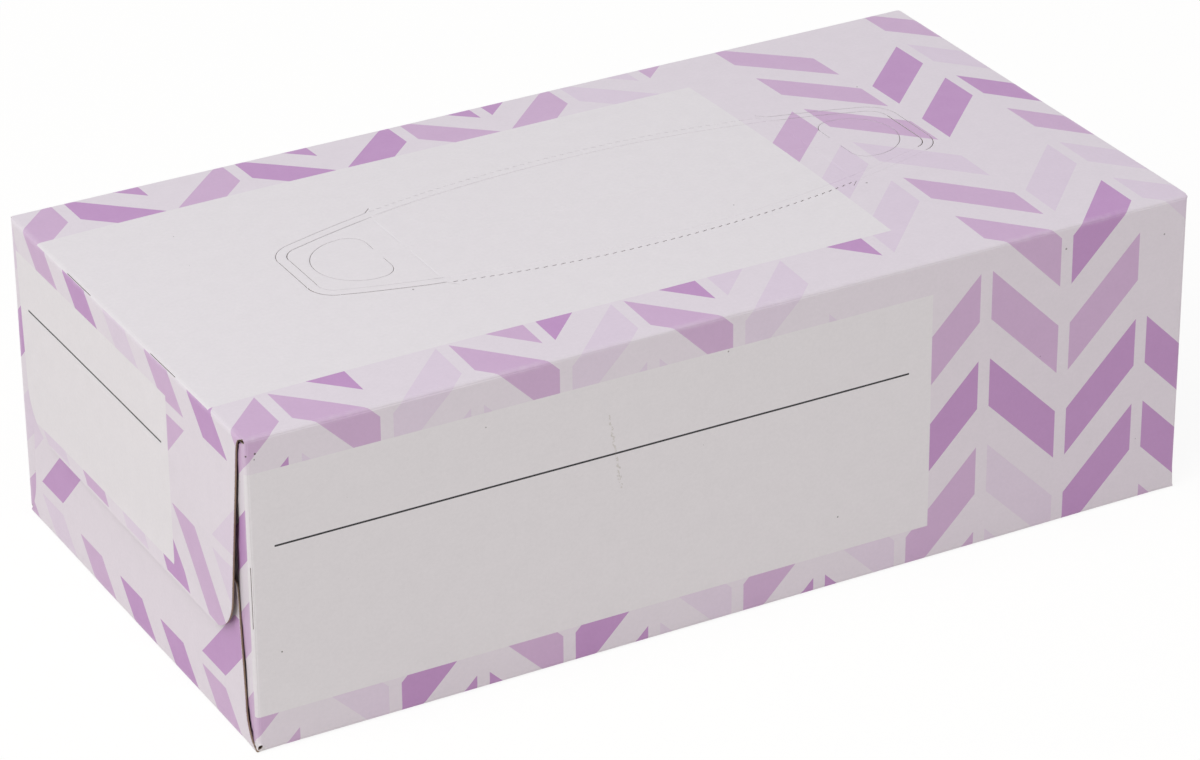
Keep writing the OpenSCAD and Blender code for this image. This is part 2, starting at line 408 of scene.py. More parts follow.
def draw_tear_out(drawing, blank):
    """Knife cuts, perforation, score lines and thumb tabs of the tear-out panel."""
    side_r = 223.0
    corner_r = 6.5
    gap = 2.25
    nick = 0.16
    tick_length = 2.4
    tab_inset = 14.75
    tab_opened = 0.7
    knife = blank.knife
    half_l = blank.opening_length / 2
    side_centre = side_r - blank.opening_width / 2
    corner_x = half_l - corner_r
    corner_y = math.sqrt((side_r - corner_r) ** 2 - corner_x**2) - side_centre
    corner_turn = math.atan2(corner_y + side_centre, corner_x)
    fold_x = 48.0
    fold_y = math.sqrt(side_r**2 - fold_x**2) - side_centre
    fold_angle = math.asin(fold_x / side_r)
    shift = np.array((blank.opening_shift, 0.0))

    def spot(x, v, hand, side):
        """A place on the tear-out panel, mirrored to this end and side."""
        return shift + np.array((hand * x, side * v))

    def swing(start, end, hand, side):
        """Angles of an arc after it is mirrored to this end and side."""
        if hand < 0:
            start, end = math.pi - end, math.pi - start
        if side < 0:
            start, end = -end, -start
        return start, end

    # How far the outer and the inner cut have opened at each end and side, as a share of the knife
    opened = {
        (-1, -1): (0.75, 1.0),
        (-1, 0): (0.9, 0.8),
        (-1, 1): (1.35, 0.4),
        (1, -1): (0.9, 0.9),
        (1, 0): (0.95, 1.3),
        (1, 1): (0.12, 0.12),
    }
    # One corner has opened much more than the side that follows it
    opened_corner = {(1, 1): (1.0, 1.2)}
    # How far the ticks at the ends of the cuts have opened
    ticks = {(-1, -1): 1.0, (-1, 1): 0.4, (1, -1): 0.9, (1, 1): 0.7}
    for hand in (-1, 1):
        for line, inset in enumerate((0.0, gap)):
            width = knife * opened[hand, 0][line]
            middle = spot(half_l - inset - width / 2, 0, hand, 1)
            bar_cut(drawing, middle, 2 * corner_y - nick, width, math.pi / 2)
            for side in (-1, 1):
                width = knife * opened_corner.get((hand, side), opened[hand, side])[line]
                r = corner_r - inset
                bite = nick / 2 / r
                arc_cut(
                    drawing,
                    spot(corner_x, corner_y, hand, side),
                    r,
                    width,
                    *swing(bite, corner_turn - bite, hand, side),
                )
                width = knife * opened[hand, side][line]
                r = side_r - inset
                bite = nick / 2 / r
                arc_cut(
                    drawing,
                    spot(0, -side_centre, hand, side),
                    r,
                    width,
                    *swing(corner_turn + bite, math.pi / 2 - fold_angle, hand, side),
                )
        for side in (-1, 1):
            tick = np.array((-hand, side)) / math.sqrt(2)
            middle = spot(fold_x, fold_y, hand, side) + tick * (nick + tick_length / 2)
            bar_cut(drawing, middle, tick_length, knife * ticks[hand, side], math.atan2(side, -hand))
        draw_thumb_tab(drawing, spot(half_l - tab_inset, 0, hand, 1), hand, tab_opened * knife, nick)
        reach = fold_y - gap - nick
        cross_fold = [spot(fold_x, -reach + 2 * reach * i / 12, hand, 1) for i in range(13)]
        score(drawing, cross_fold, width=0.6, depth=0.07)
    perf_pitch = 1.9
    perf_cut = 1.05
    perf_slant = 0.21
    # The back perforation has opened less than the front one, and its score is deeper
    perf_opened = {-1: 0.6, 1: 1.3}
    score_depth = {-1: 0.28, 1: 0.12}
    # Angle by which the scores stop short of the cross folds
    score_short = 0.006
    step = perf_pitch / side_r
    count = math.floor((2 * fold_angle * side_r - 2 * nick) / perf_pitch)
    for side in (-1, 1):
        for i in range(count):
            angle = (i - (count - 1) / 2) * step
            middle = spot(side_r * math.sin(angle), side_r * math.cos(angle) - side_centre, 1, side)
            slant = side * (-angle - perf_slant)
            bar_cut(drawing, middle, perf_cut, perf_opened[side] * knife, slant, shoulder=0.25)
        r = side_r - gap
        sweep = [(-1 + i / 24) * (fold_angle - score_short) for i in range(49)]
        chain = [spot(r * math.sin(a), r * math.cos(a) - side_centre, 1, side) for a in sweep]
        score(drawing, chain, width=0.34, depth=score_depth[side])
    # Faint ridge along the middle, over the slit in the film behind the board
    ridge = [spot(fold_x * (i / 24 - 1), 0, 1, 1) for i in range(49)]
    score(drawing, ridge, width=1.4, depth=-0.05)


def draw_thumb_tab(drawing, middle, hand, knife, nick):
    """A thumb tab with its hinge side towards the middle of the tear-out panel."""
    tab_r = 9.9
    corner_r = 4.0
    hinge = 4.55
    bridge = 4.5
    corner_x = hinge - corner_r
    corner_y = math.sqrt((tab_r - corner_r) ** 2 - corner_x**2)
    turn = math.atan2(corner_y, corner_x)
    inward = 0.0 if hand < 0 else math.pi
    bite = nick / 2 / tab_r
    arc_cut(drawing, middle, tab_r, knife, inward + turn + bite, inward + 2 * math.pi - turn - bite)
    cut = corner_y - (bridge + nick) / 2
    for side in (-1, 1):
        centre = middle + np.array((-hand * corner_x, side * corner_y))
        bite = nick / 2 / corner_r
        angles = sorted((side * -hand * bite, side * -hand * (turn - bite)))
        arc_cut(drawing, centre, corner_r, knife, inward + angles[0], inward + angles[1])
        place = middle + np.array((-hand * (hinge - knife / 2), side * (bridge + cut) / 2))
        bar_cut(drawing, place, cut, knife, math.pi / 2)


def draw_hinge_slits(drawing, blank, hand):
    """Slits along the end creases, which let the flaps fold flat."""
    # Each slit's places from the flap's middle, its length and its width
    pair = (-20.25, 20.25)
    for panel, offsets, length, width in (
        ("top", pair, 11.6, 0.15),
        ("bottom", pair, 11.6, 0.15),
        ("front", (0.0,), 13.6, 0.14),
        ("back", (0.0,), 13.6, 0.14),
    ):
        u = hand * (blank.flap_root(panel) + blank.turn / 2)
        for offset in offsets:
            middle = np.array((u, blank.flap_middle(panel) + offset))
            bar_cut(drawing, middle, length, width, math.pi / 2, shoulder=0.25)


def draw_torn_corner(drawing, blank):
    """A small hole torn at the crushed corner, with its rim curled outwards."""
    count = 14
    angles = [2 * math.pi * i / count for i in range(count)]
    # Two wider rings of points round the hole let its rim curl evenly
    for grow in (3.4, 2.0, 1.0):
        radius = grow * blank.torn_radius
        ring = [blank.torn_hole + radius * np.array((math.cos(a), math.sin(a))) for a in angles]
        if grow > 1:
            drawing.line(ring, closed=True)
        else:
            drawing.shape(ring)


def spread_points(drawing, blank, spacing):
    """Fills the panels and flaps with evenly spaced points, clear of what is drawn already."""
    step = 0.8
    clearance = 0.9
    drawn = [Vector(drawing.points[i]) for i in drawing.shapes[0]]
    for a, b in drawing.lines:
        start = Vector(drawing.points[a])
        end = Vector(drawing.points[b])
        count = max(1, int((end - start).length / step))
        drawn += [start.lerp(end, i / count) for i in range(count)]
    keep_off = KDTree(len(drawn))
    for i, place in enumerate(drawn):
        keep_off.insert(place.to_3d(), i)
    keep_off.balance()
    grid = []
    for panel in PANELS:
        start, end, at, heading = blank.runs[panel]
        rows = max(2, round((end - start) / spacing))
        columns = round(2 * blank.notch / spacing)
        for i in range(1, rows):
            for k in range(1, columns):
                grid.append((blank.notch * (2 * k / columns - 1), start + (end - start) * i / rows))
        if panel == "glue_tab":
            continue
        low = blank.flap_root(panel) + blank.turn
        tip = blank.flap_u(panel, blank.flap_length(panel))
        columns = round((tip - low) / spacing)
        for k in range(1, columns):
            u = low + (tip - low) * k / columns
            half = blank.half_flap(panel, u)
            rows = round(2 * half / spacing)
            for i in range(1, rows):
                v = blank.flap_middle(panel) + half * (2 * i / rows - 1)
                grid += [(u, v), (-u, v)]
    for place in grid:
        if keep_off.find((*place, 0.0))[2] > clearance:
            drawing.point(place)


def draw_blank(blank):
    """The whole drawing: outline, creases, cuts and the points between them."""
    drawing = Drawing()
    right = end_outline(blank)
    drawing.shape(right + [(-u, v) for u, v in reversed(right)])
    spacing = 4.0
    count = 52
    root = blank.flap_root("front")
    columns = [root * (2 * k / count - 1) for k in range(count + 1)]
    bent = [u for u in blank.crease_rows(root)[1:] if u < blank.notch - CLOSE] + [blank.notch]
    columns = [-u for u in reversed(bent)] + columns + bent
    for before in PANELS[:-1]:
        for i, v in enumerate(blank.crease_rows(blank.runs[before][1])):
            drawing.line([(u, v) for u in columns], blank.dent(i))
    for panel in PANELS[1:]:
        middle = blank.flap_middle(panel)
        rows = blank.crease_rows(blank.flap_root(panel))
        # Each rule's place, the spacing of its points, how far its ends stay inside, and its press
        rules = [(u, spacing, 0.0, blank.dent(i)) for i, u in enumerate(rows)]
        if panel in ("front", "back"):
            # Closer points on the strip of the dust flap that shows beside the lapped flaps
            strip_step = 0.8
            rules += [(rows[-1] + strip_step * (i + 1), spacing / 2, 0.4, 0.0) for i in range(9)]
        for u, apart, inside, press in rules:
            half = blank.half_flap(panel, u) - inside
            count = round(2 * half / apart)
            chain = [(u, middle + half * (2 * k / count - 1)) for k in range(count + 1)]
            drawing.line(chain, press)
            drawing.line([(-a, b) for a, b in chain], press)
    draw_tear_out(drawing, blank)
    for hand in (-1, 1):
        draw_hinge_slits(drawing, blank, hand)
    draw_torn_corner(drawing, blank)
    spread_points(drawing, blank, spacing)
    return drawing


def cut_blank(drawing):
    """Cuts the drawing out of the board: its points, how far each is pressed in, and its triangles."""
    points, edges, faces, from_points, from_edges, from_shapes = delaunay_2d_cdt(
        [Vector(p) for p in drawing.points], drawing.lines, drawing.shapes, 1, 1e-4, True
    )
    press = [drawing.press[ids[0]] if ids else 0.0 for ids in from_points]
    board = [face for face, shapes in zip(faces, from_shapes) if list(shapes) == [0]]
    used = sorted({i for face in board for i in face})
    renumber = {old: new for new, old in enumerate(used)}
    triangles = [tuple(renumber[i] for i in face) for face in board]
    return np.array([points[i][:] for i in used]), np.array([press[i] for i in used]), triangles


def ease(low, high, value):
    """Rises smoothly from 0 at low to 1 at high."""
    x = np.clip((value - low) / (high - low), 0.0, 1.0)
    return x * x * (3 - 2 * x)


def fold(blank, points, press):
    """Folds the flat points to the shut carton: the printed face's places and the ways that it faces."""
    u, v = points.T
    place = np.zeros((len(points), 3))
    facing = np.zeros((len(points), 3))
    end_plane = np.zeros(len(points))
    # The board isn't quite flat, and waves by so much over such a length
    wave_height = 0.14
    wave_length = 42
    waves = [noise.noise(Vector((a / wave_length, b / wave_length, 3.0))) for a, b in points]
    lift = np.array(waves) * wave_height
    crease_share = 0.3
    for i, (name, (start, end, at, heading)) in enumerate(blank.runs.items()):
        right = np.array((heading[1], -heading[0]))
        after = blank.end_plane[PANELS[min(i + 1, len(PANELS) - 1)]]
        turning = (v > end + 1e-6) & (v < end + blank.turn - 1e-6)
        share = (v[turning] - end) / blank.turn
        angle = share[:, None] * math.pi / 2
        out = right * np.cos(angle) + heading * np.sin(angle)
        centre = at + heading * (end - start) - right * blank.crease
        place[turning, 1:] = centre + blank.crease * out
        facing[turning, 1:] = out
        end_plane[turning] = blank.end_plane[name] + (after - blank.end_plane[name]) * share
        lift[turning] *= crease_share
        flat = (v > start - 1e-5) & (v < end + 1e-5)
        place[flat, 1:] = at + heading * (v[flat] - start)[:, None]
        facing[flat, 1:] = right
        end_plane[flat] = blank.end_plane[name]
        if name == "top":
            across = 1 - (v / (blank.width / 2 - blank.crease)) ** 2
            along = 1 - np.abs(u / blank.flap_root("top")) ** 4
            lift[flat] += (blank.crown * np.clip(across, 0, 1) * np.clip(along, 0, 1))[flat]
        if name == "bottom":
            lift[flat] = -np.abs(lift[flat])
    # The torn hole's rim curls outwards
    from_hole = np.linalg.norm(points - blank.torn_hole, axis=1) / blank.torn_radius
    curl = 0.22
    lift += curl * (1 - ease(1.0, 2.2, from_hole))
    bend_ends(blank, points, end_plane, place, facing)
    place += facing * (lift - press)[:, None]
    crumple(place, blank.crushed_corner, reach=2.6, depth=0.35, pull=0.8)
    crumple(place, blank.crushed_corner * (-1, 1, 1), reach=2.4, depth=0.1, pull=0.8)
    knocked_corner = np.array((blank.length / 2, -blank.width / 2, blank.height))
    crumple(place, knocked_corner, reach=3.0, depth=0.24, pull=-0.1)
    return place, facing


def crumple(place, corner, reach, depth, pull):
    """Works a corner of the carton into small uneven folds, pulled out to its point or pushed in."""
    ripple_size = 1.1
    # The folds come out the same each run
    noise.seed_set(1)
    away = np.linalg.norm(place - corner, axis=1)
    near = np.flatnonzero(away < reach)
    for i in near:
        share = (1 - away[i] / reach) ** 1.5
        ripple = noise.noise_vector(Vector(place[i] / ripple_size))
        place[i] += share * (pull * (corner - place[i]) + depth * np.array(ripple[:]))
        # A corner that stands on the table doesn't sink into it
        place[i, 2] = max(place[i, 2], 0.0)


def bend_ends(blank, points, end_plane, place, facing):
    """Bends the flaps over the end creases, springs the outer ones off the ends and sags the dust flaps."""
    u, v = points.T
    hand = np.sign(u)
    root = end_plane - blank.crease
    beyond = np.clip(np.abs(u) - root, 0, None)
    angle = np.clip(beyond / blank.crease, 0, math.pi / 2)
    straight = np.clip(beyond - blank.turn, 0, None)
    place[:, 0] = np.where(beyond > 0, hand * (root + blank.crease * np.sin(angle)), u)
    place -= facing * (blank.crease * (1 - np.cos(angle)) + straight)[:, None]
    facing *= np.cos(angle)[:, None]
    facing[:, 0] = hand * np.sin(angle)
    # The outer flaps spring off towards their side edges, most at the front of the left end
    edge_inset = 4
    edge = blank.width / 2 - edge_inset
    outer = np.abs(v) < blank.runs["top"][1] + 1e-5
    front = ease(0.45, 1.0, v / edge)
    back = ease(0.55, 1.0, -v / edge)
    amount = np.where(u < 0, front + 0.35 * back, 0.3 * front + 0.55 * back)
    spring = blank.spring * amount * ease(0.0, 0.75, straight / blank.outer_flap)
    # The dust flaps show a flat strip past their creases and drop where the lapped flaps' edges cover them
    dust = ~outer & (v < blank.runs["front"][1] + 1e-5)
    covered = straight + blank.crease - np.array([blank.side_inset(z) for z in place[:, 2]])
    slope = 0.12 - 0.1 * ease(20, 40, place[:, 2])
    drop = 0.95
    sag = straight * slope + drop * ease(-0.1, 1.1, covered)
    # The inner flaps lean back behind the outer ones by a little less than the board's thickness
    lean_short = 0.12
    lean = (blank.board - lean_short) * ease(0, 14, straight)
    place[:, 0] += hand * np.where(outer, spring, np.where(dust, -sag, -lean))


def board_mesh(blank, name):
    """Mesh of the folded board: printed face, inside face and the cut edges between them."""
    points, press, triangles = cut_blank(draw_blank(blank))
    place, facing = fold(blank, points, press)
    count = len(points)
    inside = place - facing * blank.board
    outer = [(a, c, b) for a, b, c in triangles]
    inner = [(a + count, b + count, c + count) for a, b, c in triangles]
    half_edges = {(f[i], f[(i + 1) % 3]) for f in outer for i in range(3)}
    rim = sorted(edge for edge in half_edges if (edge[1], edge[0]) not in half_edges)
    walls = [(b, a, a + count, b + count) for a, b in rim]
    mesh = bpy.data.meshes.new(name)
    mesh.from_pydata((np.concatenate((place, inside)) * MM).tolist(), [], outer + inner + walls)
    if mesh.validate():
        raise RuntimeError("the folded board has faces that Blender can't use")
    # The print is rubbed down to the core at the crushed corner
    rubbed_reach = 2.2
    middles = place[np.array(triangles)].mean(axis=1)
    rubbed = np.linalg.norm(middles - blank.crushed_corner, axis=1) < rubbed_reach
    for polygon in mesh.polygons:
        printed = polygon.index < len(outer) and not rubbed[polygon.index]
        polygon.material_index = 0 if printed else 1
        polygon.use_smooth = True
    # Depth in the board, from 0 at the print to 1 inside, with the core laid bare at the crushed corner
    depth = np.repeat((0.0, 1.0), count)
    frayed_reach = 2.6
    fray_size = 0.5
    from_corner = np.linalg.norm(place - blank.crushed_corner, axis=1)
    for i in np.flatnonzero(from_corner < frayed_reach):
        depth[i] = 0.8 - 0.75 * from_corner[i] + 0.3 * noise.noise(Vector(place[i] / fray_size))
    mesh.attributes.new("depth", "FLOAT", "POINT").data.foreach_set("value", depth)
    layer = mesh.uv_layers.new(name="Blank")
    loops = np.zeros(len(mesh.loops), dtype=np.int32)
    mesh.loops.foreach_get("vertex_index", loops)
    layer.data.foreach_set("uv", (points[loops % count] * MM).astype(np.float32).ravel())
    mesh.set_sharp_from_angle(angle=math.radians(40))
    # Pressed lines and rolled edges keep their own slopes, so that they catch the light
    least_press = 0.02
    sloped = np.array(triangles)[np.ptp(press[np.array(triangles)], axis=1) > least_press]
    sides = {tuple(sorted((int(f[i]), int(f[i - 1])))) for f in sloped for i in range(3)}
    for edge in mesh.edges:
        if tuple(sorted(edge.vertices)) in sides:
            edge.use_edge_sharp = True
    return mesh


def add_node(tree, kind, inputs=None, **settings):
    """Adds a shader node with its settings, and links or sets the inputs named.

    An input that is given a node is linked to that node's first output.
    """
    node = tree.nodes.new("ShaderNode" + kind)
    for name, value in settings.items():
        setattr(node, name, value)
    for name, value in (inputs or {}).items():
        if isinstance(value, bpy.types.Node):
            value = value.outputs[0]
        if isinstance(value, bpy.types.NodeSocket):
            tree.links.new(value, node.inputs[name])
        else:
            node.inputs[name].default_value = value
    return node


def new_material(name):
    """An empty material with its tree and its output node."""
    material = bpy.data.materials.new(name)
    material.use_nodes = True
    material.node_tree.nodes.clear()
    return material, material.node_tree, add_node(material.node_tree, "OutputMaterial")


def label_fields(blank):
    """White fields of the print: low and high corner of each on the blank, in millimetres."""
    half = blank.length / 2
    front = blank.runs["front"][0] - blank.crease
    back = blank.runs["back"][1] + blank.crease
    bottom = blank.flap_middle("bottom")
    end = blank.flap_u("top", 0)
    return (
        # Top, front and back
        ((-half, -41.3), (44.9, 41.3)),
        ((-half, front + 7.6), (45.6, front + 61.1)),
        ((-45.6, back - 61.1), (half, back - 7.6)),
        # Left end, right end and bottom
        ((-end - 44, -60), (-end - 6.4, 21.3)),
        ((end + 6.4, -21.3), (end + 44, 60)),
        ((-62, bottom - 30), (62, bottom + 30)),
    )


def label_rules(blank):
    """Thin rules across the labels: low and high corner of each on the blank, in millimetres."""
    front = blank.runs["front"][0] - blank.crease
    back = blank.runs["back"][1] + blank.crease
    end = blank.flap_u("top", 0) + 18.1
    return (
        # Front and back, then left and right end
        ((-102.6, front + 24.0), (40.2, front + 24.42)),
        ((-40.2, back - 24.42), (102.6, back - 24.0)),
        ((-end - 0.21, -48), (-end + 0.21, 18.1)),
        ((end - 0.21, -18.1), (end + 0.21, 48)),
    )


def inside_fields(tree, place, fields):
    """Node that gives 1 inside any of the fields and 0 elsewhere."""
    nearest = None
    for low, high in fields:
        middle = [(a + b) / 2 for a, b in zip(low, high)] + [0]
        half = [(b - a) / 2 for a, b in zip(low, high)] + [0]
        away = add_node(tree, "VectorMath", {0: place, 1: middle}, operation="SUBTRACT")
        away = add_node(tree, "VectorMath", {0: away}, operation="ABSOLUTE")
        away = add_node(tree, "VectorMath", {0: away, 1: half}, operation="SUBTRACT")
        split = add_node(tree, "SeparateXYZ", {0: away}).outputs
        away = add_node(tree, "Math", {0: split[0], 1: split[1]}, operation="MAXIMUM")
        if nearest is not None:
            away = add_node(tree, "Math", {0: nearest, 1: away}, operation="MINIMUM")
        nearest = away
    return add_node(tree, "Math", {0: nearest, 1: 0.0}, operation="LESS_THAN")


def set_stops(ramp, stops):
    """Gives a colour ramp its stops, each with its position and its colour."""
    while len(ramp.elements) < len(stops):
        ramp.elements.new(1.0)
    for element, (position, colour) in zip(ramp.elements, stops):
        element.position = position
        element.color = colour


def dash_pattern(tree, u, v, colours):
    """Zigzag columns of slanted dashes with upright ends, each dash in one of the inks or left out."""
    pitch = 19.5
    row_pitch = 20.0
    dash = 11.0
    margin = 1.4
    seed = 7.0
    column = add_node(tree, "Math", {0: u, 1: pitch}, operation="DIVIDE")
    column = add_node(tree, "Math", {0: column}, operation="FLOOR")
    zigzag = add_node(tree, "Math", {0: u, 1: pitch}, operation="PINGPONG")
    slid = add_node(tree, "Math", {0: v, 1: zigzag}, operation="ADD")
    row = add_node(tree, "Math", {0: slid, 1: row_pitch}, operation="DIVIDE")
    row = add_node(tree, "Math", {0: row}, operation="FLOOR")
    up = add_node(tree, "Math", {0: slid, 1: row_pitch}, operation="FLOORED_MODULO")
    up = add_node(tree, "Math", {0: up, 1: dash}, operation="LESS_THAN")
    along = add_node(tree, "Math", {0: u, 1: pitch}, operation="FLOORED_MODULO")
    near = add_node(tree, "Math", {0: along, 1: margin}, operation="GREATER_THAN")
    far = add_node(tree, "Math", {0: along, 1: pitch - margin}, operation="LESS_THAN")
    inked = add_node(tree, "Math", {0: near, 1: far}, operation="MULTIPLY")
    inked = add_node(tree, "Math", {0: inked, 1: up}, operation="MULTIPLY")
    cell = add_node(tree, "CombineXYZ", {0: column, 1: row, 2: seed})
    draw = add_node(tree, "TexWhiteNoise", {"Vector": cell}, noise_dimensions="3D")
    inks = add_node(tree, "ValToRGB", {0: draw})
    inks.color_ramp.interpolation = "CONSTANT"
    # The dashes that draw the ground's colour are the ones left out
    stops = (
        (0.0, colours.ground),
        (0.14, colours.light_ink),
        (0.38, colours.mid_ink),
        (0.7, colours.dark_ink),
    )
    set_stops(inks.color_ramp, stops)
    return inked, inks


def crease_wear(tree, u, v, place, paint, blank, colours):
    """Rubs a little ink off along the creases, more in some places than in others."""
    near = None
    for along, middle in (
        (v, blank.runs["top"][1] + blank.turn / 2),
        (u, blank.flap_root("top") + blank.turn / 2),
    ):
        away = add_node(tree, "Math", {0: along}, operation="ABSOLUTE")
        away = add_node(tree, "Math", {0: away, 1: middle}, operation="SUBTRACT")
        away = add_node(tree, "Math", {0: away}, operation="ABSOLUTE")
        if near is not None:
            away = add_node(tree, "Math", {0: near, 1: away}, operation="MINIMUM")
        near = away
    worn = add_node(tree, "MapRange", {0: near, 1: 0.2, 2: 1.2, 3: 1.0, 4: 0.0})
    # Size of a patch of wear in millimetres
    patch = 2.5
    patchy = add_node(tree, "TexNoise", {"Vector": place, "Scale": 1 / patch, "Detail": 4.0})
    patchy = add_node(tree, "MapRange", {0: patchy, 1: 0.35, 2: 0.7, 3: 0.08, 4: 0.28})
    worn = add_node(tree, "Math", {0: worn, 1: patchy}, operation="MULTIPLY")
    return add_node(tree, "Mix", {0: worn, 6: paint, 7: tuple(colours.label)}, data_type="RGBA").outputs[2]


def marks(tree, u, v, place, paint, blank):
    """Scuff on the front label, specks in the board and a few dots of dirt by the near top corner."""
    top = blank.runs["front"][0] - blank.crease
    # The scuff leans a little and wanders, with a pale middle, greyer edges and breaks. Lengths are in
    # millimetres, and noise scales in waves for each millimetre
    scuff_length = 17.1
    lean = 2.6 / scuff_length
    middle = top + 23.8
    offset = -28.2 - lean * middle
    wander_reach = 2.0
    line = add_node(tree, "Math", {0: v, 1: lean, 2: offset}, operation="MULTIPLY_ADD")
    wander = add_node(tree, "TexNoise", {"Vector": place, "Scale": 0.7, "Detail": 3.0})
    line = add_node(tree, "Math", {0: wander, 1: wander_reach, 2: line}, operation="MULTIPLY_ADD")
    away = add_node(tree, "Math", {0: u, 1: line}, operation="SUBTRACT")
    away = add_node(tree, "Math", {0: away, 1: wander_reach / 2}, operation="ADD")
    away = add_node(tree, "Math", {0: away}, operation="ABSOLUTE")
    scuff = add_node(tree, "ValToRGB", {0: away})
    tones = ((0.0, "#DDD8CE", 0.6), (0.14, "#A79F94", 0.55), (0.3, "#B5AEA6", 0.0))
    set_stops(scuff.color_ramp, [(at, linear(code)[:3] + (share,)) for at, code, share in tones])
    broken = add_node(tree, "TexNoise", {"Vector": place, "Scale": 1.6, "Detail": 3.0})
    broken = add_node(tree, "MapRange", {0: broken, 1: 0.44, 2: 0.54})
    length = add_node(tree, "Math", {0: v, 1: middle, 2: scuff_length / 2}, operation="COMPARE")
    share = add_node(tree, "Math", {0: scuff.outputs[1], 1: broken}, operation="MULTIPLY")
    share = add_node(tree, "Math", {0: share, 1: length}, operation="MULTIPLY")
    paint = add_node(tree, "Mix", {0: share, 6: paint, 7: scuff.outputs[0]}, data_type="RGBA").outputs[2]
    # Specks lie in some of the squares of this size
    square = 26
    speck_radius = 0.24
    cells = add_node(tree, "TexVoronoi", {"Vector": place, "Scale": 1 / square}, voronoi_dimensions="2D")
    pick = add_node(tree, "SeparateColor", {0: cells.outputs["Color"]}).outputs
    largest = speck_radius / square
    size = add_node(tree, "MapRange", {0: pick[0], 1: 0.55, 2: 1.0, 3: 0.0, 4: largest})
    speck = add_node(tree, "Math", {0: cells.outputs["Distance"], 1: size}, operation="LESS_THAN")
    speck_strength = 0.6
    dot_strength = 0.9
    dirt = add_node(tree, "Math", {0: speck, 1: speck_strength}, operation="MULTIPLY")
    for across, down, radius in (
        (-105.8, 3.4, 0.22),
        (-107.7, 3.6, 0.19),
        (-106.0, 4.6, 0.13),
        (-102.0, 47.8, 0.17),
    ):
        away = add_node(
            tree, "VectorMath", {0: place, 1: (across, top + down, 0)}, operation="DISTANCE"
        ).outputs[1]
        dot = add_node(tree, "Math", {0: away, 1: radius}, operation="LESS_THAN")
        dot = add_node(tree, "Math", {0: dot, 1: dot_strength}, operation="MULTIPLY")
        dirt = add_node(tree, "Math", {0: dirt, 1: dot}, operation="MAXIMUM")
    return add_node(tree, "Mix", {0: dirt, 6: paint, 7: linear("#4A423D")}, data_type="RGBA").outputs[2]


def printed_board(blank, colours):
    """White-lined cartonboard, offset printed and sealed with a satin varnish.

    Flat inks with straight edges, a faint mottle where the board took the ink unevenly, a soft
    even shine, and paler ink where the creases cracked it.
    """
    material, tree, output = new_material("White-lined cartonboard, offset printed, satin varnish")
    flat = add_node(tree, "UVMap", uv_map="Blank")
    place = add_node(tree, "VectorMath", {0: flat, "Scale": 1 / MM}, operation="SCALE")
    u, v = add_node(tree, "SeparateXYZ", {0: place}).outputs[:2]
    paint = tuple(colours.ground)
    for inside, ink in (
        dash_pattern(tree, u, v, colours),
        (inside_fields(tree, place, label_fields(blank)), tuple(colours.label)),
        (inside_fields(tree, place, label_rules(blank)), tuple(colours.rule)),
    ):
        paint = add_node(tree, "Mix", {0: inside, 6: paint, 7: ink}, data_type="RGBA").outputs[2]
    paint = crease_wear(tree, u, v, place, paint, blank, colours)
    paint = marks(tree, u, v, place, paint, blank)
    # Mottle of the ink, and fibres under the varnish that are drawn coarse enough to show, in millimetres
    patch = 4
    fibre_width = 0.8
    pale, deep = 1.008, 0.992
    mottle = add_node(tree, "TexNoise", {"Vector": place, "Scale": 1 / patch, "Detail": 3.0})
    mottle = add_node(tree, "MapRange", {0: mottle, 1: 0.3, 2: 0.7, 3: deep, 4: pale})
    fibre = add_node(tree, "TexNoise", {"Vector": place, "Scale": 1 / fibre_width, "Detail": 3.0})
    grain = add_node(tree, "MapRange", {0: fibre, 1: 0.3, 2: 0.7, 3: 0.982, 4: 1.012})
    for shade in (mottle, grain):
        paint = add_node(
            tree, "Mix", {0: 1.0, 6: paint, 7: shade}, data_type="RGBA", blend_type="MULTIPLY"
        ).outputs[2]
    bump = add_node(tree, "Bump", {"Strength": 0.25, "Distance": 0.01 * MM, "Height": fibre})
    rough = add_node(tree, "MapRange", {0: mottle, 1: deep, 2: pale, 3: 0.5, 4: 0.44})
    shader = add_node(
        tree,
        "BsdfPrincipled",
        {"Base Color": paint, "Roughness": rough, "IOR": 1.48, "Normal": bump},
    )
    tree.links.new(shader.outputs[0], output.inputs[0])
    return material


def cut_board(colours):
    """Grey core of recycled cartonboard, cut by a steel rule.

    Dull, fibrous and flecked, with a thin white line where the liner is cut through.
    """
    material, tree, output = new_material("Recycled cartonboard core, knife cut")
    place = add_node(tree, "TexCoord").outputs["Object"]
    fibre_width = 0.3 * MM
    fibre = add_node(tree, "TexNoise", {"Vector": place, "Scale": 1 / fibre_width, "Detail": 3.0})
    shade = add_node(tree, "MapRange", {0: fibre, 1: 0.3, 2: 0.7, 3: 0.8, 4: 1.15})
    # The liner is the outer quarter of the board's thickness
    depth = add_node(tree, "Attribute", attribute_name="depth").outputs["Fac"]
    depth = add_node(tree, "MapRange", {0: depth, 1: 0.2, 2: 0.3})
    paint = add_node(
        tree,
        "Mix",
        {0: depth, 6: tuple(colours.label), 7: tuple(colours.core)},
        data_type="RGBA",
    ).outputs[2]
    paint = add_node(
        tree, "Mix", {0: 1.0, 6: paint, 7: shade}, data_type="RGBA", blend_type="MULTIPLY"
    ).outputs[2]
    bump = add_node(tree, "Bump", {"Strength": 0.5, "Distance": 0.05 * MM, "Height": fibre})
    shader = add_node(tree, "BsdfPrincipled", {"Base Color": paint, "Roughness": 0.95, "Normal": bump})
    tree.links.new(shader.outputs[0], output.inputs[0])
    return material


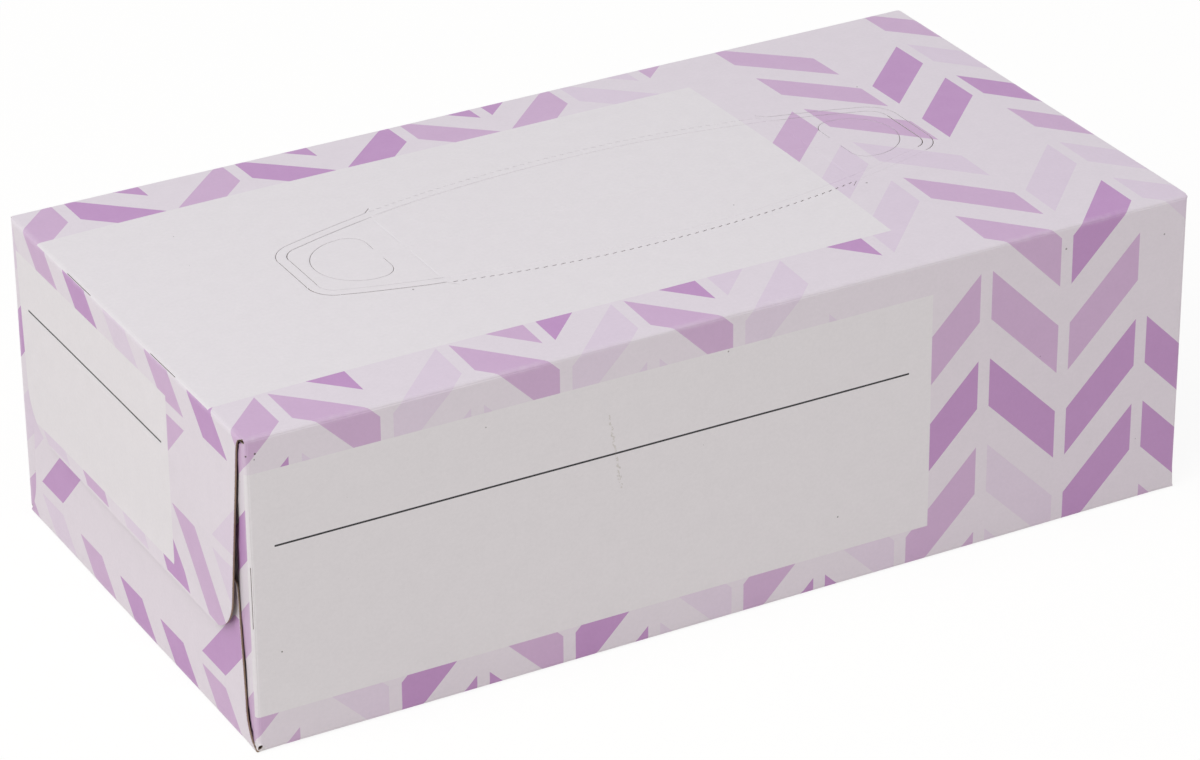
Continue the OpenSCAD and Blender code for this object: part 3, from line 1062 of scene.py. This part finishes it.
class CARTON_OT_fold(bpy.types.Operator):
    """Cuts the printed blank out of the board, folds it and glues it shut"""

    bl_idname = "carton.fold"
    bl_label = "Fold carton"

    def execute(self, context):
        blank = Blank(context.scene.carton_sizes)
        colours = context.scene.carton_colours
        carton = bpy.data.objects.new("folded_carton", board_mesh(blank, "folded_carton"))
        even = carton.modifiers.new("Flat panels stay flat", "WEIGHTED_NORMAL")
        even.mode = "FACE_AREA"
        even.weight = 50
        even.keep_sharp = True
        carton.data.materials.append(printed_board(blank, colours))
        carton.data.materials.append(cut_board(colours))
        context.scene.collection.objects.link(carton)
        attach(carton, "root")
        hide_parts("carton")
        return {"FINISHED"}


def seen_white(tree, shader, strength, share):
    """Adds plain white, for the camera and for reflections only, to what a stage surface shows."""
    path = add_node(tree, "LightPath").outputs
    seen = path["Is Camera Ray"]
    for ray in ("Is Glossy Ray", "Is Transmission Ray"):
        seen = add_node(tree, "Math", {0: seen, 1: path[ray]}, operation="MAXIMUM")
    level = add_node(tree, "Math", {0: seen, 1: share}, operation="MULTIPLY")
    white = add_node(tree, "Emission", {"Strength": strength})
    return add_node(tree, "MixShader", {0: level, 1: shader, 2: white}).outputs[0]


class CARTON_OT_stage(bpy.types.Operator):
    """Sets the floor, the soft lights and the camera"""

    bl_idname = "carton.stage"
    bl_label = "Set stage"

    def execute(self, context):
        scene = context.scene
        values = scene.carton_stage
        self.floor(scene)
        self.sky(scene, values)
        self.lamps(scene, values)
        data = bpy.data.cameras.new("stage_camera")
        data.lens = values.lens
        data.sensor_width = 36
        data.clip_start = 0.05
        data.clip_end = 20
        camera = bpy.data.objects.new("stage_camera", data)
        camera.location = values.camera_place
        camera.rotation_euler = values.camera_turn
        scene.collection.objects.link(camera)
        scene.camera = camera
        scene.view_settings.view_transform = "Standard"
        return {"FINISHED"}

    def floor(self, scene):
        """A wide white floor that takes the carton's soft shadow."""
        mesh = bpy.data.meshes.new("stage_floor")
        half = 6
        below = -0.0002
        corners = [(x * half, y * half, below) for x, y in ((-1, -1), (1, -1), (1, 1), (-1, 1))]
        mesh.from_pydata(corners, [], [(0, 1, 2, 3)])
        floor = bpy.data.objects.new("stage_floor", mesh)
        # Matt paper has no shine, so only the soft shadow shows on it
        material, tree, output = new_material("White paper sweep, matt")
        paper = add_node(tree, "BsdfDiffuse", {"Color": linear("#F5F4EE"), "Roughness": 0.6})
        tree.links.new(seen_white(tree, paper, strength=1.02, share=0.88), output.inputs[0])
        mesh.materials.append(material)
        scene.collection.objects.link(floor)

    def sky(self, scene, values):
        """Even white light from all round, white where the camera sees it."""
        world = bpy.data.worlds.new("stage_sky")
        world.use_nodes = True
        tree = world.node_tree
        tree.nodes.clear()
        output = add_node(tree, "OutputWorld")
        light = add_node(tree, "Background", {"Color": linear("#FDFBFF"), "Strength": values.sky})
        tree.links.new(seen_white(tree, light, strength=1.0, share=1.0), output.inputs[0])
        scene.world = world

    def lamps(self, scene, values):
        """One large soft light from the left and above."""
        data = bpy.data.lights.new("key_light", "AREA")
        data.shape = "DISK"
        data.size = 1.4
        data.energy = values.key
        lamp = bpy.data.objects.new("key_light", data)
        lamp.location = (-0.95, -0.35, 1.3)
        lamp.rotation_euler = (-lamp.location).to_track_quat("-Z", "Y").to_euler()
        scene.collection.objects.link(lamp)


class CARTON_PT_panel(bpy.types.Panel):
    """Sizes, colours and steps of the carton"""

    bl_idname = "CARTON_PT_panel"
    bl_label = "Tissue carton"
    bl_space_type = "VIEW_3D"
    bl_region_type = "UI"
    bl_category = "Carton"

    def draw(self, context):
        scene = context.scene
        for group in (scene.carton_sizes, scene.carton_colours, scene.carton_stage):
            box = self.layout.box()
            for name in type(group).__annotations__:
                box.prop(group, name)
        self.layout.operator(CARTON_OT_fold.bl_idname)
        self.layout.operator(CARTON_OT_stage.bl_idname)


CLASSES = (CartonSizes, CartonColours, StageValues, CARTON_OT_fold, CARTON_OT_stage, CARTON_PT_panel)


def register():
    for cls in CLASSES:
        bpy.utils.register_class(cls)
    bpy.types.Scene.carton_sizes = bpy.props.PointerProperty(type=CartonSizes)
    bpy.types.Scene.carton_colours = bpy.props.PointerProperty(type=CartonColours)
    bpy.types.Scene.carton_stage = bpy.props.PointerProperty(type=StageValues)


def unregister():
    del bpy.types.Scene.carton_stage
    del bpy.types.Scene.carton_colours
    del bpy.types.Scene.carton_sizes
    for cls in reversed(CLASSES):
        bpy.utils.unregister_class(cls)


def main():
    """Makes the stage and the carton."""
    register()
    bpy.ops.carton.stage()
    bpy.ops.carton.fold()


if __name__ == "__main__":
    main()
